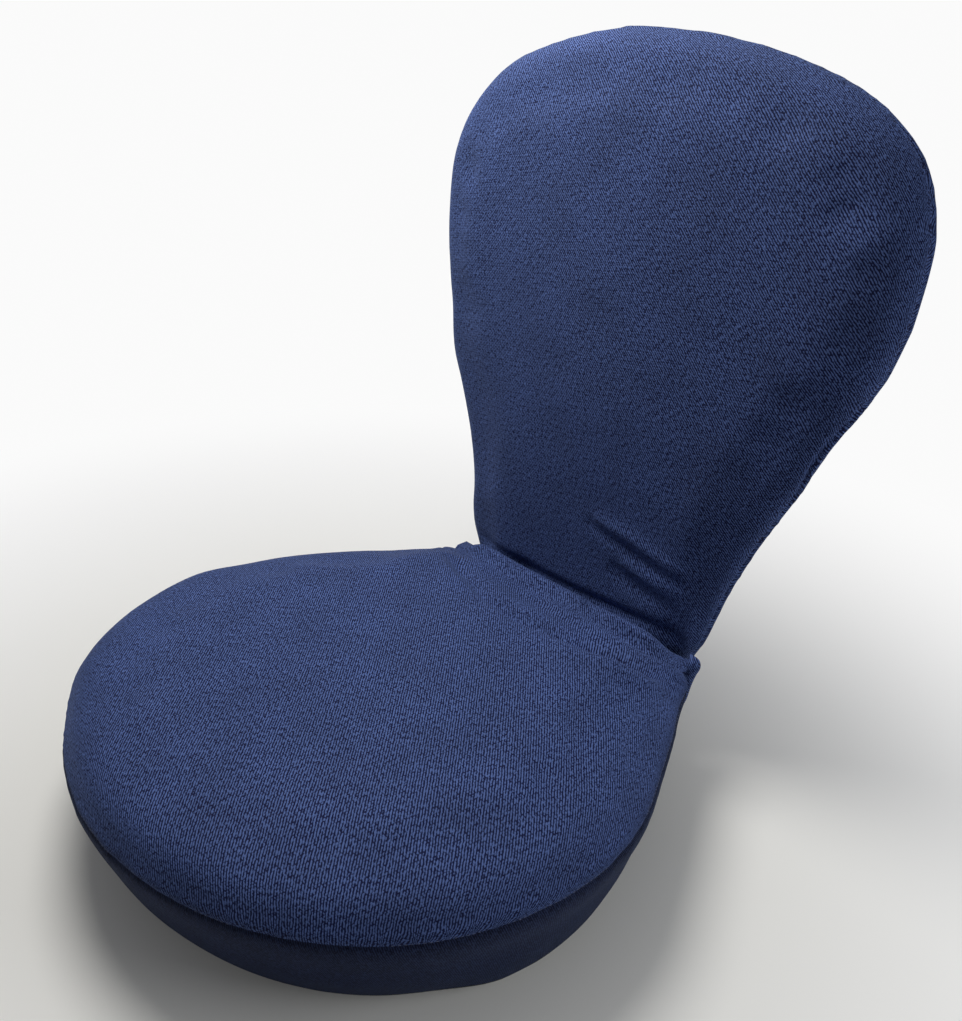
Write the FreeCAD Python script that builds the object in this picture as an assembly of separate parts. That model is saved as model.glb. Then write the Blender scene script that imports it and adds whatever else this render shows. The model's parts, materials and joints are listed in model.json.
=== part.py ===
import FreeCAD, Part
import math
import os
from FreeCAD import Vector

# Stretch chair: a legless floor chair with a round foam seat and a teardrop backrest
# that folds on a ratchet hinge at each end of the crease.
# Millimetres, +Z up, front at -Y. The origin is on the floor, near the seat's middle.

# Seat cushion
seat_half_width = 222.0
seat_front_reach = 216.5
seat_height = 112.0
seat_widest_height = 80.0
seat_seam_height = 78.0
seat_fullness = 8.0           # the higher, the squarer the top edge
seat_base_draw = 32.0         # how far the sides draw in towards the floor
seat_base_roll = 4.0          # rounding of the bottom edge
seat_rear_half_width = 136.0  # at the crease
seat_side_angle = 24.0        # degrees by which the sides run in towards the crease
seat_widest_y = -11.0
seat_crown_y = -110.0         # the top rises towards this line
seat_corner_radius = 16.0
seat_base_curve = 1.3         # how evenly the sides draw in
seat_side_levels = (0.3, 0.6, 0.85)
seat_crown_angles = (0, 15, 30, 45, 60, 72, 82)

# Backrest cushion, measured from the hinge line up along the backrest
back_reach = 447.0
back_narrower = 9.0           # the backrest's half width against the seat's
back_widest_reach = 321.5
back_neck_half_width = 120.0
back_neck_reach = 20.0
back_neck_angle = 8.0         # degrees by which the neck's sides spread
back_corner_radius = 16.0
back_neck_radius = 20.7       # the lower end is rounded about the hinge line
back_front_crown = 4.0
back_rear_crown = 6.0
back_rear_swell = 9.0         # how much thicker the cushion is at its top
back_seam_depth = 3.0         # rim seam, behind the middle of the thickness
back_rim_angles = (0, 20, 40, 60, 78)
back_face_margins = (0.12, 0.20)
back_tilt = 6.0               # degrees from upright in the photographed position

# Where the two cushions meet
hinge_line_y = 209.0
hinge_line_z = 78.0
crease_gap = 3.4

# Fabric and foam
cover_thickness = 1.2
bottom_cover_rise = 6.0
cushion_fit = 0.3             # between a cover and the foam inside it
pocket_clearance = 0.4        # between the foam and the steel inside it

# Tube frames
tube_diameter = 16.0
tube_wall = 1.2
cross_bar_diameter = 12.0
cross_bar_wall = 1.0
bend_clearance = 4.0          # straight tube beyond the tang, before the first bend
seat_frame_height = 45.0
seat_hoop_half_width = 152.0
seat_hoop_front = 160.0
seat_tube_end_y = 152.0
seat_bar_places = (70.0, -60.0)
back_hoop_half_width = 152.0
back_hoop_widest = 300.0
back_hoop_top = 392.0
back_tube_end = 66.0
back_bar_places = (180.0, 300.0)

# Ratchet hinge, one at each end of the crease
hinge_plane = 98.0            # middle plane of the toothed arm
step_angle = 7.5              # degrees from tooth to tooth
back_step_count = 11          # from the photographed position down to flat
forward_step_count = 3        # and forward over the seat
nose_tooth_count = 2
gear_gap = 4.0                # between the case plates
gear_side_play = 0.1
case_thickness = 2.0
case_head_radius = 16.9
case_half_width = 12.5
case_reach = 62.0
tooth_tip_radius = 15.4
tooth_depth = 1.3
lobe_rise = 0.9               # the smooth lobes that hold the pawl out at the ends of the travel
lobe_angle = 16.0
gear_hub_radius = 12.4
arm_width = 14.0
arm_elbow_y = 166.0
arm_slot_room = 1.0           # around the arm in the backrest's cover
tang_width = 12.4
tang_length = 34.0
pivot_diameter = 8.0
pivot_play = 0.05
pivot_head_radius = 7.0
head_height = 1.5
head_taper = 0.6              # a rivet head's top face against its rim

# Pawl and its leaf spring
pawl_nose_angle = 120.0       # degrees up from the backrest's front, about the hinge line
nose_end_play = 0.6           # degrees
pawl_lever = 18.0
pawl_width = 7.0
pawl_boss_radius = 4.2
pawl_nose_outer = 18.8
pawl_side_play = 0.2
pawl_swing_room = 2.5         # left in the foam for the lifted pawl
mesh_clearance = 0.15
pin_diameter = 4.0
pin_play = 0.05
pin_head_radius = 3.0
spacer_bottom = 31.0
spring_thickness = 0.5
spring_height = 3.0
spring_radius = 9.0
spring_centre_front = 2.0
spring_tail = 8.0
spring_seat = 0.2             # between the leaf's end and the pawl's back

# Rivets
rivet_diameter = 5.0
rivet_play = 0.05
rivet_head_radius = 4.0
tube_rivet_places = (9.0, 23.0)   # along the tang, from the tube's end
case_rivet_places = (40.0, 52.0)  # along the backrest, from the hinge line

far = 1000.0
overlap = 1.0
x_axis = Vector(1, 0, 0)
hinge_point = Vector(0, hinge_line_y, hinge_line_z)
tube_radius = tube_diameter / 2
back_half_width = seat_half_width - back_narrower
seat_wall_y = hinge_line_y - back_neck_radius - crease_gap
foam_inset = cover_thickness + cushion_fit
case_stack = gear_gap / 2 + case_thickness
lobe_radius = tooth_tip_radius + lobe_rise
straight_end = tang_length + bend_clearance
os.makedirs("parts", exist_ok=True)


def export(name, shape):
    shape.exportStep("parts/" + name + ".step")


def fused(shapes):
    return shapes[0].multiFuse(shapes[1:]).removeSplitter()


def mirrored(shape):
    return shape.mirror(Vector(0, 0, 0), x_axis)


def both_sides(shape):
    return [shape, mirrored(shape)]


# Outlines in a plane: points and directions are (u, v) pairs

def polar(radius, degrees):
    angle = math.radians(degrees)
    return radius * math.cos(angle), radius * math.sin(angle)


def between(p, q, share=0.5):
    return p[0] + (q[0] - p[0]) * share, p[1] + (q[1] - p[1]) * share


def arc_through(p, direction, q):
    """The middle point of the arc that leaves p in a direction and ends at q."""
    chord = (q[0] - p[0], q[1] - p[1])
    length = math.hypot(chord[0], chord[1])
    turn = math.atan2(chord[1], chord[0]) - math.atan2(direction[1], direction[0])
    turn = math.atan2(math.sin(turn), math.cos(turn))
    rise = length / 2 * math.tan(turn / 2)
    middle = between(p, q)
    return middle[0] + chord[1] / length * rise, middle[1] - chord[0] / length * rise


def two_arcs(p, p_direction, q, q_direction):
    """Two tangent arcs from p to q, as a list of (start, middle, end)."""
    vx, vy = q[0] - p[0], q[1] - p[1]
    tx, ty = p_direction[0] + q_direction[0], p_direction[1] + q_direction[1]
    a = 2 * (1 - p_direction[0] * q_direction[0] - p_direction[1] * q_direction[1])
    b = 2 * (vx * tx + vy * ty)
    c = -(vx * vx + vy * vy)
    reach = -c / b if a < 1e-9 else (-b + math.sqrt(b * b - 4 * a * c)) / (2 * a)
    near = (p[0] + p_direction[0] * reach, p[1] + p_direction[1] * reach)
    late = (q[0] - q_direction[0] * reach, q[1] - q_direction[1] * reach)
    join = between(near, late)
    back_to_join = (-q_direction[0], -q_direction[1])
    return [(p, arc_through(p, p_direction, join), join),
            (join, arc_through(q, back_to_join, join), q)]


def mirrored_back(pieces):
    """The same pieces on the other side, run the other way."""
    return [tuple((-point[0], point[1]) for point in reversed(piece)) for piece in reversed(pieces)]


def edges_from(pieces, place):
    """Lines and arcs in space; place turns a (u, v) pair into a Vector."""
    edges = []
    for piece in pieces:
        points = [place(point) for point in piece]
        if len(points) == 2:
            edges.append(Part.makeLine(points[0], points[1]))
        else:
            edges.append(Part.Arc(points[0], points[1], points[2]).toShape())
    return edges


def lower_corner(half_width, angle, radius, wall):
    """A rounded corner between a slanted side and the end wall, and where it starts and stops."""
    slope = math.radians(angle)
    centre = (half_width - radius * math.cos(slope)
              + radius * math.tan(slope) * (1 - math.sin(slope)), wall - radius)
    start = (centre[0] + radius * math.cos(slope), centre[1] + radius * math.sin(slope))
    spread = math.radians((90 + angle) / 2)
    middle = (centre[0] + radius * math.cos(spread), centre[1] + radius * math.sin(spread))
    return start, middle, (centre[0], wall)


# Seat cushion: the outline seen from above, and the whole form from rings of it

def seat_outline():
    corner = lower_corner(seat_rear_half_width, seat_side_angle, seat_corner_radius, seat_wall_y)
    slope = math.radians(seat_side_angle)
    widest = (seat_half_width, seat_widest_y)
    right = two_arcs((0, -seat_front_reach), (1, 0), widest, (0, 1))
    right += two_arcs(widest, (0, 1),
                      corner[0], (-math.sin(slope), math.cos(slope)))
    right.append(corner)
    end = corner[2]
    return right + [(end, (-end[0], end[1]))] + mirrored_back(right)


def seat_rings():
    """Scale, middle and height of each ring, from the floor up to the crown."""
    lowest = 1 - seat_base_draw / seat_half_width
    roll = seat_base_roll / seat_half_width
    rings = [(lowest - roll, 0.0, 0.0), (lowest, 0.0, seat_base_roll)]
    for share in seat_side_levels:
        height = seat_widest_height * share
        drawn = (1 - share) ** seat_base_curve
        rings.append((1 - (1 - lowest) * drawn, 0.0, height))
    rise = seat_height - seat_widest_height
    for degrees in seat_crown_angles:
        angle = math.radians(degrees)
        scale = math.cos(angle) ** (2 / seat_fullness)
        rings.append((scale, seat_crown_y, seat_widest_height + rise * math.sin(angle)))
    return rings


def seat_form(inset):
    wires = []
    outline = seat_outline()
    middle = seat_height / 2
    for scale, centre, height in seat_rings():
        scale *= 1 - inset / seat_half_width
        height = middle + (height - middle) * (1 - inset / middle)
        wires.append(Part.Wire(edges_from(
            outline, lambda p, s=scale, c=centre, z=height: Vector(
                p[0] * s, c + (p[1] - c) * s, z))))
    return Part.makeLoft(wires, True, False, False, 3)


# Backrest cushion, upright in its own frame: hinge line at the origin, front at -Y

def back_outline():
    spread = math.radians(back_neck_angle)
    lean = math.tan(spread)
    lower_half_width = back_neck_half_width - lean * (back_neck_reach + back_neck_radius)
    corner = lower_corner(lower_half_width, -back_neck_angle, back_corner_radius, back_neck_radius)
    corner = [(point[0], -point[1]) for point in corner]
    neck = (back_neck_half_width, back_neck_reach)
    right = two_arcs((0, back_reach), (1, 0), (back_half_width, back_widest_reach), (0, -1))
    right += two_arcs((back_half_width, back_widest_reach), (0, -1),
                      neck, (-math.sin(spread), -math.cos(spread)))
    right.append((neck, corner[0]))
    right.append(tuple(corner))
    end = corner[2]
    return right + [(end, (-end[0], end[1]))] + mirrored_back(right)


def back_rings(crown):
    """Margin from the rim and depth of each ring, from the middle to one face."""
    margins = [back_neck_radius * (1 - math.cos(math.radians(angle)))
               for angle in back_rim_angles]
    margins += [back_half_width * share for share in back_face_margins]
    rings = []
    for margin in margins:
        rim = 1 - min(margin / back_neck_radius, 1)
        rise = 1 - (1 - margin / back_half_width) ** 2
        rings.append((margin, back_neck_radius * math.sqrt(1 - rim ** 2) + crown * rise))
    return rings


def back_form(inset):
    """Rings from the front face, over the rim, to the rear face."""
    centre = back_half_width - back_neck_radius
    swell = math.degrees(math.atan(back_rear_swell / back_reach))
    outline = back_outline()
    front = [(margin, -depth) for margin, depth in back_rings(back_front_crown)]
    wires = []
    for margin, depth in front[:0:-1] + back_rings(back_rear_crown):
        share = 1 - inset / back_neck_radius
        scale = (1 - margin / back_half_width) * (1 - inset / back_half_width)
        ring = Part.Wire(edges_from(outline, lambda p, s=scale, d=depth * share: Vector(
            p[0] * s, d, centre + (p[1] - centre) * s)))
        if depth > 0:
            ring.rotate(Vector(0, 0, 0), x_axis, -swell * min(depth / back_neck_radius, 1))
        wires.append(ring)
    return Part.makeLoft(wires, True, False, False, 3)


def leaned(shape):
    """From the upright frame of the backrest to its photographed place."""
    placed = shape.copy()
    placed.rotate(Vector(0, 0, 0), x_axis, -back_tilt)
    placed.translate(hinge_point)
    return placed


def slab(low, high, axis):
    """Everything between two heights along one axis."""
    size = [2 * far, 2 * far, 2 * far]
    corner = [-far, -far, -far]
    size[axis] = high - low
    corner[axis] = low
    return Part.makeBox(size[0], size[1], size[2], Vector(corner[0], corner[1], corner[2]))


# Plates of the hinge lie in the plane across X: (u, v) is (forwards, up) from the hinge line

def plate(pieces, thickness):
    face = Part.Face(Part.Wire(edges_from(
        pieces, lambda p: Vector(hinge_plane - thickness / 2, -p[0], p[1]))))
    return face.extrude(Vector(thickness, 0, 0))


def bar(p, q, width, thickness):
    """A flat bar with round ends."""
    length = math.hypot(q[0] - p[0], q[1] - p[1])
    along = ((q[0] - p[0]) / length, (q[1] - p[1]) / length)
    side = (-along[1] * width / 2, along[0] * width / 2)
    p_left = (p[0] + side[0], p[1] + side[1])
    p_right = (p[0] - side[0], p[1] - side[1])
    q_left = (q[0] + side[0], q[1] + side[1])
    q_right = (q[0] - side[0], q[1] - side[1])
    p_end = (p[0] - along[0] * width / 2, p[1] - along[1] * width / 2)
    q_end = (q[0] + along[0] * width / 2, q[1] + along[1] * width / 2)
    return plate([(p_left, q_left), (q_left, q_end, q_right),
                  (q_right, p_right), (p_right, p_end, p_left)], thickness)


def strip(low, high, thickness):
    """A plain rectangle between two corners."""
    return plate([(low, (high[0], low[1])), ((high[0], low[1]), high),
                  (high, (low[0], high[1])), ((low[0], high[1]), low)], thickness)


def disc(centre, radius, thickness):
    return Part.makeCylinder(radius, thickness, Vector(
        hinge_plane - thickness / 2, -centre[0], centre[1]), x_axis)


def sector(radius, first, last, thickness):
    """A slice of a disc about the hinge line, between two angles up from the front."""
    start = polar(radius, first)
    middle = polar(radius, (first + last) / 2)
    stop = polar(radius, last)
    return plate([((0, 0), start), (start, middle, stop), (stop, (0, 0))], thickness)


def rivet(centre, shank_radius, head_radius, grip):
    """A shank with a low head on each side of its grip."""
    low = hinge_plane - grip / 2
    at = Vector(low, -centre[0], centre[1])
    shank = Part.makeCylinder(shank_radius, grip, at, x_axis)
    lower = Part.makeCone(head_radius * head_taper, head_radius, head_height,
                          at - Vector(head_height, 0, 0), x_axis)
    upper = Part.makeCone(head_radius, head_radius * head_taper, head_height,
                          at + Vector(grip, 0, 0), x_axis)
    return fused([shank, lower, upper])


def tube_along(pieces, place, radius):
    path = Part.Wire(edges_from(pieces, place))
    start = place(pieces[0][0])
    direction = path.Edges[0].tangentAt(path.Edges[0].FirstParameter)
    ring = Part.Wire(Part.makeCircle(radius, start, direction))
    return path.makePipeShell([ring], True, False)


def hoop(start, first_bend, widest, far_end):
    """Half of a tube loop from the hinge round to the middle, then its mirror image."""
    heading = math.copysign(1, far_end[1] - start[1])
    half = [(start, first_bend)]
    half += two_arcs(first_bend, (0, heading), widest, (0, heading))
    half += two_arcs(widest, (0, heading), far_end, (-1, 0))
    return half + mirrored_back(half)


# Seat frame

seat_loop = hoop((hinge_plane, seat_tube_end_y), (hinge_plane, seat_tube_end_y - straight_end),
                 (seat_hoop_half_width, 0.0), (0.0, -seat_hoop_front))
back_loop = hoop((hinge_plane, back_tube_end), (hinge_plane, back_tube_end + straight_end),
                 (back_hoop_half_width, back_hoop_widest), (0.0, back_hoop_top))


def on_seat(point):
    return Vector(point[0], point[1], seat_frame_height)


def on_back(point):
    return Vector(point[0], 0, point[1])


def cross_bars(places, half_length, loop_solid, radius, bore, place):
    """Bars across a hoop, with their ends shaped to fit its round sides."""
    bars = []
    for along in places:
        start = place((-half_length, along))
        rod = Part.makeCylinder(radius, 2 * half_length, start, x_axis).cut(loop_solid)
        rod = max(rod.Solids, key=lambda piece: piece.Volume)
        if bore > 0:
            rod = rod.cut(Part.makeCylinder(bore, 2 * half_length, start, x_axis))
        bars.append(rod)
    return bars


# Gear: the toothed head of the seat's arm, in the same (forwards, up) plane

first_notch = pawl_nose_angle + back_tilt - (forward_step_count + nose_tooth_count / 2) * step_angle
tooth_count = back_step_count + forward_step_count + nose_tooth_count


def gear_outline(grow, turn):
    """Teeth, a smooth lobe at each end of them, and the round hub; grow and turn give clearance."""
    tip = tooth_tip_radius + grow
    root = tip - tooth_depth
    lobe = lobe_radius + grow
    start = first_notch + turn
    pieces = []
    low = polar(lobe, start - lobe_angle)
    pieces.append((polar(gear_hub_radius, start - lobe_angle), low))
    pieces.append((low, polar(lobe, start - lobe_angle / 2), polar(lobe, start)))
    last = polar(lobe, start)
    for tooth in range(tooth_count):
        bottom = polar(root, start + (tooth + 1) * step_angle)
        rise = lobe if tooth == tooth_count - 1 else tip
        top = polar(rise, start + (tooth + 1) * step_angle)
        if tooth == 0:
            pieces.append((last, polar(tip, start)))
            last = polar(tip, start)
        pieces.append((last, bottom))
        pieces.append((bottom, top))
        last = top
    end = start + tooth_count * step_angle
    pieces.append((last, polar(lobe, end + lobe_angle / 2), polar(lobe, end + lobe_angle)))
    hub_in = polar(gear_hub_radius, end + lobe_angle)
    pieces.append((polar(lobe, end + lobe_angle), hub_in))
    gap = 360 - (end - start + 2 * lobe_angle)
    middle = end + lobe_angle + gap / 2
    half_way = polar(gear_hub_radius, middle)
    pieces.append((hub_in, polar(gear_hub_radius, middle - gap / 4), half_way))
    pieces.append((half_way, polar(gear_hub_radius, middle + gap / 4),
                   polar(gear_hub_radius, start - lobe_angle)))
    return pieces


elbow = (hinge_line_y - arm_elbow_y, seat_frame_height - hinge_line_z)
seat_tang_end = (hinge_line_y - seat_tube_end_y + tang_length, elbow[1])


def gear_arm():
    thickness = gear_gap - 2 * gear_side_play
    head = plate(gear_outline(0.0, 0.0), thickness)
    link = bar((0, 0), elbow, arm_width, thickness)
    tang = strip((elbow[0], elbow[1] - tang_width / 2),
                 (seat_tang_end[0], elbow[1] + tang_width / 2), thickness)
    arm = fused([head, link, tang])
    arm = arm.cut(disc((0, 0), pivot_diameter / 2 + pivot_play, far))
    for along in tube_rivet_places:
        place = (hinge_line_y - seat_tube_end_y + along, elbow[1])
        arm = arm.cut(disc(place, rivet_diameter / 2 + rivet_play, far))
    arm.translate(hinge_point)
    return arm


def case_plate(side):
    """One of the two stamped plates that carry the backrest; side is -1 inside, 1 outside."""
    shape = fused([disc((0, 0), case_head_radius, case_thickness),
                   bar((0, 0), case_end_centre, 2 * case_half_width, case_thickness)])
    holes = [disc((0, 0), pivot_diameter / 2, far), disc(pin_place, pin_diameter / 2, far)]
    for along in case_rivet_places:
        holes.append(disc((0, along), rivet_diameter / 2 + rivet_play, far))
    shape = shape.cut(holes)
    shape.translate(Vector(side * (gear_gap + case_thickness) / 2, 0, 0))
    return leaned(shape)


case_end_centre = (0, case_reach - case_half_width)
nose_centre = polar(tooth_tip_radius - tooth_depth / 2, pawl_nose_angle)
pin_place = (nose_centre[0] + pawl_lever * math.sin(math.radians(pawl_nose_angle)),
             nose_centre[1] - pawl_lever * math.cos(math.radians(pawl_nose_angle)))
pawl_heel = polar(pawl_nose_outer - pawl_width / 2, pawl_nose_angle)


def pawl():
    thickness = gear_gap - 2 * pawl_side_play
    half = nose_tooth_count * step_angle / 2 - nose_end_play
    nose = sector(pawl_nose_outer, pawl_nose_angle - half, pawl_nose_angle + half, thickness)
    turned = -math.degrees(mesh_clearance / tooth_tip_radius)
    for turn in (0.0, turned):
        teeth = plate(gear_outline(mesh_clearance, turn), far)
        teeth.rotate(Vector(0, 0, 0), x_axis, back_tilt)
        nose = nose.cut(teeth)
    lever = bar(pin_place, pawl_heel, pawl_width, thickness).fuse(
        disc(pin_place, pawl_boss_radius, thickness))
    lever = lever.cut(disc((0, 0), lobe_radius + mesh_clearance, far))
    body = fused([nose, lever]).cut(disc(pin_place, pin_diameter / 2 + pin_play, far))
    return leaned(body)


def spacer_tang():
    """The thick middle plate of the backrest's side: a spacer between the case plates, and a tang."""
    shape = fused([disc(case_end_centre, case_half_width, gear_gap),
                   strip((-case_half_width, spacer_bottom),
                         (case_half_width, case_end_centre[1]), gear_gap),
                   strip((-tang_width / 2, spacer_bottom),
                         (tang_width / 2, back_tube_end + tang_length), gear_gap)])
    for along in case_rivet_places:
        shape = shape.cut(disc((0, along), rivet_diameter / 2 + rivet_play, far))
    for along in tube_rivet_places:
        shape = shape.cut(disc((0, back_tube_end + along), rivet_diameter / 2 + rivet_play, far))
    return leaned(shape)


def pawl_spring():
    """A bent leaf: a flat tail under the spacer and a hook that presses on the pawl's back."""
    centre = (spring_centre_front, spacer_bottom - spring_radius)
    inner = spring_radius - spring_thickness
    lever = (pin_place[0] - pawl_heel[0], pin_place[1] - pawl_heel[1])
    upward = math.atan2(lever[1], lever[0]) + math.pi / 2
    height = ((pin_place[0] - centre[0]) * math.cos(upward)
              + (pin_place[1] - centre[1]) * math.sin(upward) + pawl_width / 2 + spring_seat)
    end = math.degrees(upward + math.acos(height / spring_radius))
    middle = (90 + end) / 2

    def at(radius, degrees):
        point = polar(radius, degrees)
        return centre[0] + point[0], centre[1] + point[1]

    tail_end = centre[0] + spring_tail
    pieces = [((tail_end, spacer_bottom), at(spring_radius, 90)),
              (at(spring_radius, 90), at(spring_radius, middle), at(spring_radius, end)),
              (at(spring_radius, end), at(inner, end)),
              (at(inner, end), at(inner, middle), at(inner, 90)),
              (at(inner, 90), (tail_end, spacer_bottom - spring_thickness)),
              ((tail_end, spacer_bottom - spring_thickness), (tail_end, spacer_bottom))]
    return leaned(plate(pieces, spring_height))


# What the steel takes out of the foam and the covers

def seat_pocket():
    room = 2 * pocket_clearance
    pieces = [tube_along(seat_loop, on_seat, tube_radius + pocket_clearance)]
    link = bar((0, 0), elbow, arm_width + room, gear_gap + room)
    end = strip((elbow[0] - tang_width / 2, elbow[1] - tang_width / 2 - pocket_clearance),
                (hinge_line_y - seat_tube_end_y + overlap,
                 elbow[1] + tang_width / 2 + pocket_clearance),
                gear_gap + room)
    heads = [disc((hinge_line_y - seat_tube_end_y + along, elbow[1]),
                  rivet_head_radius + pocket_clearance,
                  tube_diameter + 2 * head_height + room) for along in tube_rivet_places]
    for shape in [link, end] + heads:
        shape.translate(hinge_point)
        pieces += both_sides(shape)
    pieces += cross_bars(seat_bar_places, seat_hoop_half_width, seat_tube_outside,
                         cross_bar_diameter / 2 + pocket_clearance, 0, on_seat)
    return pieces


def arm_sweep():
    """Where the seat's arm passes through the backrest's lower end over its whole travel."""
    arm_direction = math.degrees(math.atan2(elbow[1], elbow[0])) - back_tilt
    spread = math.degrees(math.asin((arm_width / 2 + arm_slot_room) / (back_neck_radius - foam_inset)))
    first = arm_direction - back_step_count * step_angle - spread
    last = arm_direction + forward_step_count * step_angle + spread
    return sector(2 * back_neck_radius, first, last, gear_gap + arm_slot_room)


def back_pocket():
    room = 2 * pocket_clearance
    pieces = [tube_along(back_loop, on_back, tube_radius + pocket_clearance)]
    head = disc((0, 0), back_neck_radius, 2 * (case_stack + head_height) + room)
    body = strip((-case_half_width - pawl_swing_room, 0),
                 (case_half_width + pocket_clearance, case_reach + pocket_clearance),
                 2 * (case_stack + head_height) + room)
    tang = strip((-tang_width / 2 - pocket_clearance, case_reach),
                 (tang_width / 2 + pocket_clearance, back_tube_end + overlap), gear_gap + room)
    heads = [disc((0, back_tube_end + along), rivet_head_radius + pocket_clearance,
                  tube_diameter + 2 * head_height + room) for along in tube_rivet_places]
    for shape in [head, body, tang] + heads:
        pieces += both_sides(shape)
    pieces += cross_bars(back_bar_places, back_hoop_half_width, back_tube_outside,
                         cross_bar_diameter / 2 + pocket_clearance, 0, on_back)
    return pieces


# Seat: covers, foam and frame

seat_tube_outside = tube_along(seat_loop, on_seat, tube_radius)
seat_outside = seat_form(0.0)
seat_skin = seat_outside.cut(seat_form(cover_thickness))
seat_slot = bar((0, 0), elbow, arm_width + 2 * pocket_clearance, gear_gap + 2 * pocket_clearance)
seat_slot.translate(hinge_point)
seat_skin = seat_skin.cut(both_sides(seat_slot))
seat_foam = seat_form(foam_inset).cut(seat_pocket())
export("seat_top_cover", seat_skin.common(slab(seat_seam_height, far, 2)))
export("seat_side_band", seat_skin.common(slab(bottom_cover_rise, seat_seam_height, 2)))
export("seat_bottom_cover", seat_skin.common(slab(-far, bottom_cover_rise, 2)))
export("seat_base_foam", seat_foam.common(slab(-far, seat_frame_height, 2)))
export("seat_top_foam", seat_foam.common(slab(seat_frame_height, far, 2)))

seat_tube = seat_tube_outside.cut(tube_along(seat_loop, on_seat, tube_radius - tube_wall))
for along in tube_rivet_places:
    hole = disc((hinge_line_y - seat_tube_end_y + along, elbow[1]),
                rivet_diameter / 2 + rivet_play, 2 * tube_diameter)
    hole.translate(hinge_point)
    seat_tube = seat_tube.cut(both_sides(hole))
export("seat_frame_tube", seat_tube)
cross_bar_bore = cross_bar_diameter / 2 - cross_bar_wall
seat_bars = cross_bars(seat_bar_places, seat_hoop_half_width, seat_tube_outside,
                       cross_bar_diameter / 2, cross_bar_bore, on_seat)
export("seat_cross_bars", Part.makeCompound(seat_bars))

# Backrest: covers, foam and frame

back_tube_outside = tube_along(back_loop, on_back, tube_radius)
back_outside = back_form(0.0)
back_skin = back_outside.cut(back_form(cover_thickness)).cut(both_sides(arm_sweep()))
back_foam = back_form(foam_inset).cut(back_pocket())
export("back_front_cover", leaned(back_skin.common(slab(-far, back_seam_depth, 1))))
export("back_rear_cover", leaned(back_skin.common(slab(back_seam_depth, far, 1))))
export("back_front_foam", leaned(back_foam.common(slab(-far, 0.0, 1))))
export("back_rear_foam", leaned(back_foam.common(slab(0.0, far, 1))))

back_tube = back_tube_outside.cut(tube_along(back_loop, on_back, tube_radius - tube_wall))
for along in tube_rivet_places:
    hole = disc((0, back_tube_end + along), rivet_diameter / 2 + rivet_play, 2 * tube_diameter)
    back_tube = back_tube.cut(both_sides(hole))
export("back_frame_tube", leaned(back_tube))
back_bars = cross_bars(back_bar_places, back_hoop_half_width, back_tube_outside,
                       cross_bar_diameter / 2, cross_bar_bore, on_back)
export("back_cross_bars", leaned(Part.makeCompound(back_bars)))

# Hinges: the sitter's left is at +X, and the right one is its mirror image

pivot_rivet = leaned(rivet((0, 0), pivot_diameter / 2, pivot_head_radius, 2 * case_stack))
pawl_pin = leaned(rivet(pin_place, pin_diameter / 2, pin_head_radius, 2 * case_stack))
hinge_pieces = {
    "gear_arm": gear_arm(),
    "case_inner": case_plate(-1),
    "case_outer": case_plate(1),
    "spacer_tang": spacer_tang(),
    "pivot_rivet": pivot_rivet,
    "pawl": pawl(),
    "pawl_pin": pawl_pin,
    "pawl_spring": pawl_spring(),
}
for name, shape in hinge_pieces.items():
    export("left_" + name, shape)
    export("right_" + name, mirrored(shape))

seat_rivets = []
for along in tube_rivet_places:
    fastener = rivet((hinge_line_y - seat_tube_end_y + along, elbow[1]), rivet_diameter / 2,
                     rivet_head_radius, tube_diameter)
    fastener.translate(hinge_point)
    seat_rivets += both_sides(fastener)
export("seat_tube_rivets", Part.makeCompound(seat_rivets))
back_rivets = []
for along in tube_rivet_places:
    back_rivets += both_sides(rivet((0, back_tube_end + along), rivet_diameter / 2,
                                    rivet_head_radius, tube_diameter))
export("back_tube_rivets", leaned(Part.makeCompound(back_rivets)))
case_rivets = []
for along in case_rivet_places:
    case_rivets += both_sides(rivet((0, along), rivet_diameter / 2, rivet_head_radius,
                                    2 * case_stack))
export("case_rivets", leaned(Part.makeCompound(case_rivets)))
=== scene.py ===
import json
import math
import bmesh
import bpy
from mathutils import Matrix, Quaternion, Vector, geometry, noise


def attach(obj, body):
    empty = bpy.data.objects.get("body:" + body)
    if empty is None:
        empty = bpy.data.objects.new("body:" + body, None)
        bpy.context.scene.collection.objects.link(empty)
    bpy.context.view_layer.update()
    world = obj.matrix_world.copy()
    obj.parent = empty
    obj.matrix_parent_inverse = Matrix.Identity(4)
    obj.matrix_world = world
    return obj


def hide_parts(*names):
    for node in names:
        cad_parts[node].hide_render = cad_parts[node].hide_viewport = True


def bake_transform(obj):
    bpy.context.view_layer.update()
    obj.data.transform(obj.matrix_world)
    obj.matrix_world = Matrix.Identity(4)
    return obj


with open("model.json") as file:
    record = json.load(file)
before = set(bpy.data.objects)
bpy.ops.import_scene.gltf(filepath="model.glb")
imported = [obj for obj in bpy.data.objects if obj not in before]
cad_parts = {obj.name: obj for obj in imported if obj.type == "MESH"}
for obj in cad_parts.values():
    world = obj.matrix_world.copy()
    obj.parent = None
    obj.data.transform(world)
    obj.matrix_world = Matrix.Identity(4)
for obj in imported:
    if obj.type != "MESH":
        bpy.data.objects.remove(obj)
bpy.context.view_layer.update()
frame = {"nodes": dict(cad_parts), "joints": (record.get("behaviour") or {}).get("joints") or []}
scene = bpy.context.scene
nodes = frame["nodes"]
joints = {joint["name"]: joint for joint in frame["joints"]}


# Camera: a hand-held view from above the sitter's left knee, down onto the seat.
# It stands 0.74 m from a point above the middle of the chair.

view_target = Vector((-0.0021, 0.0940, 0.2020))
view_distance = 0.73855
view_turn = math.radians(48.23)
view_height = math.radians(26.8)
view_roll = math.radians(1.8)
view_lens = 35.753

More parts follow.
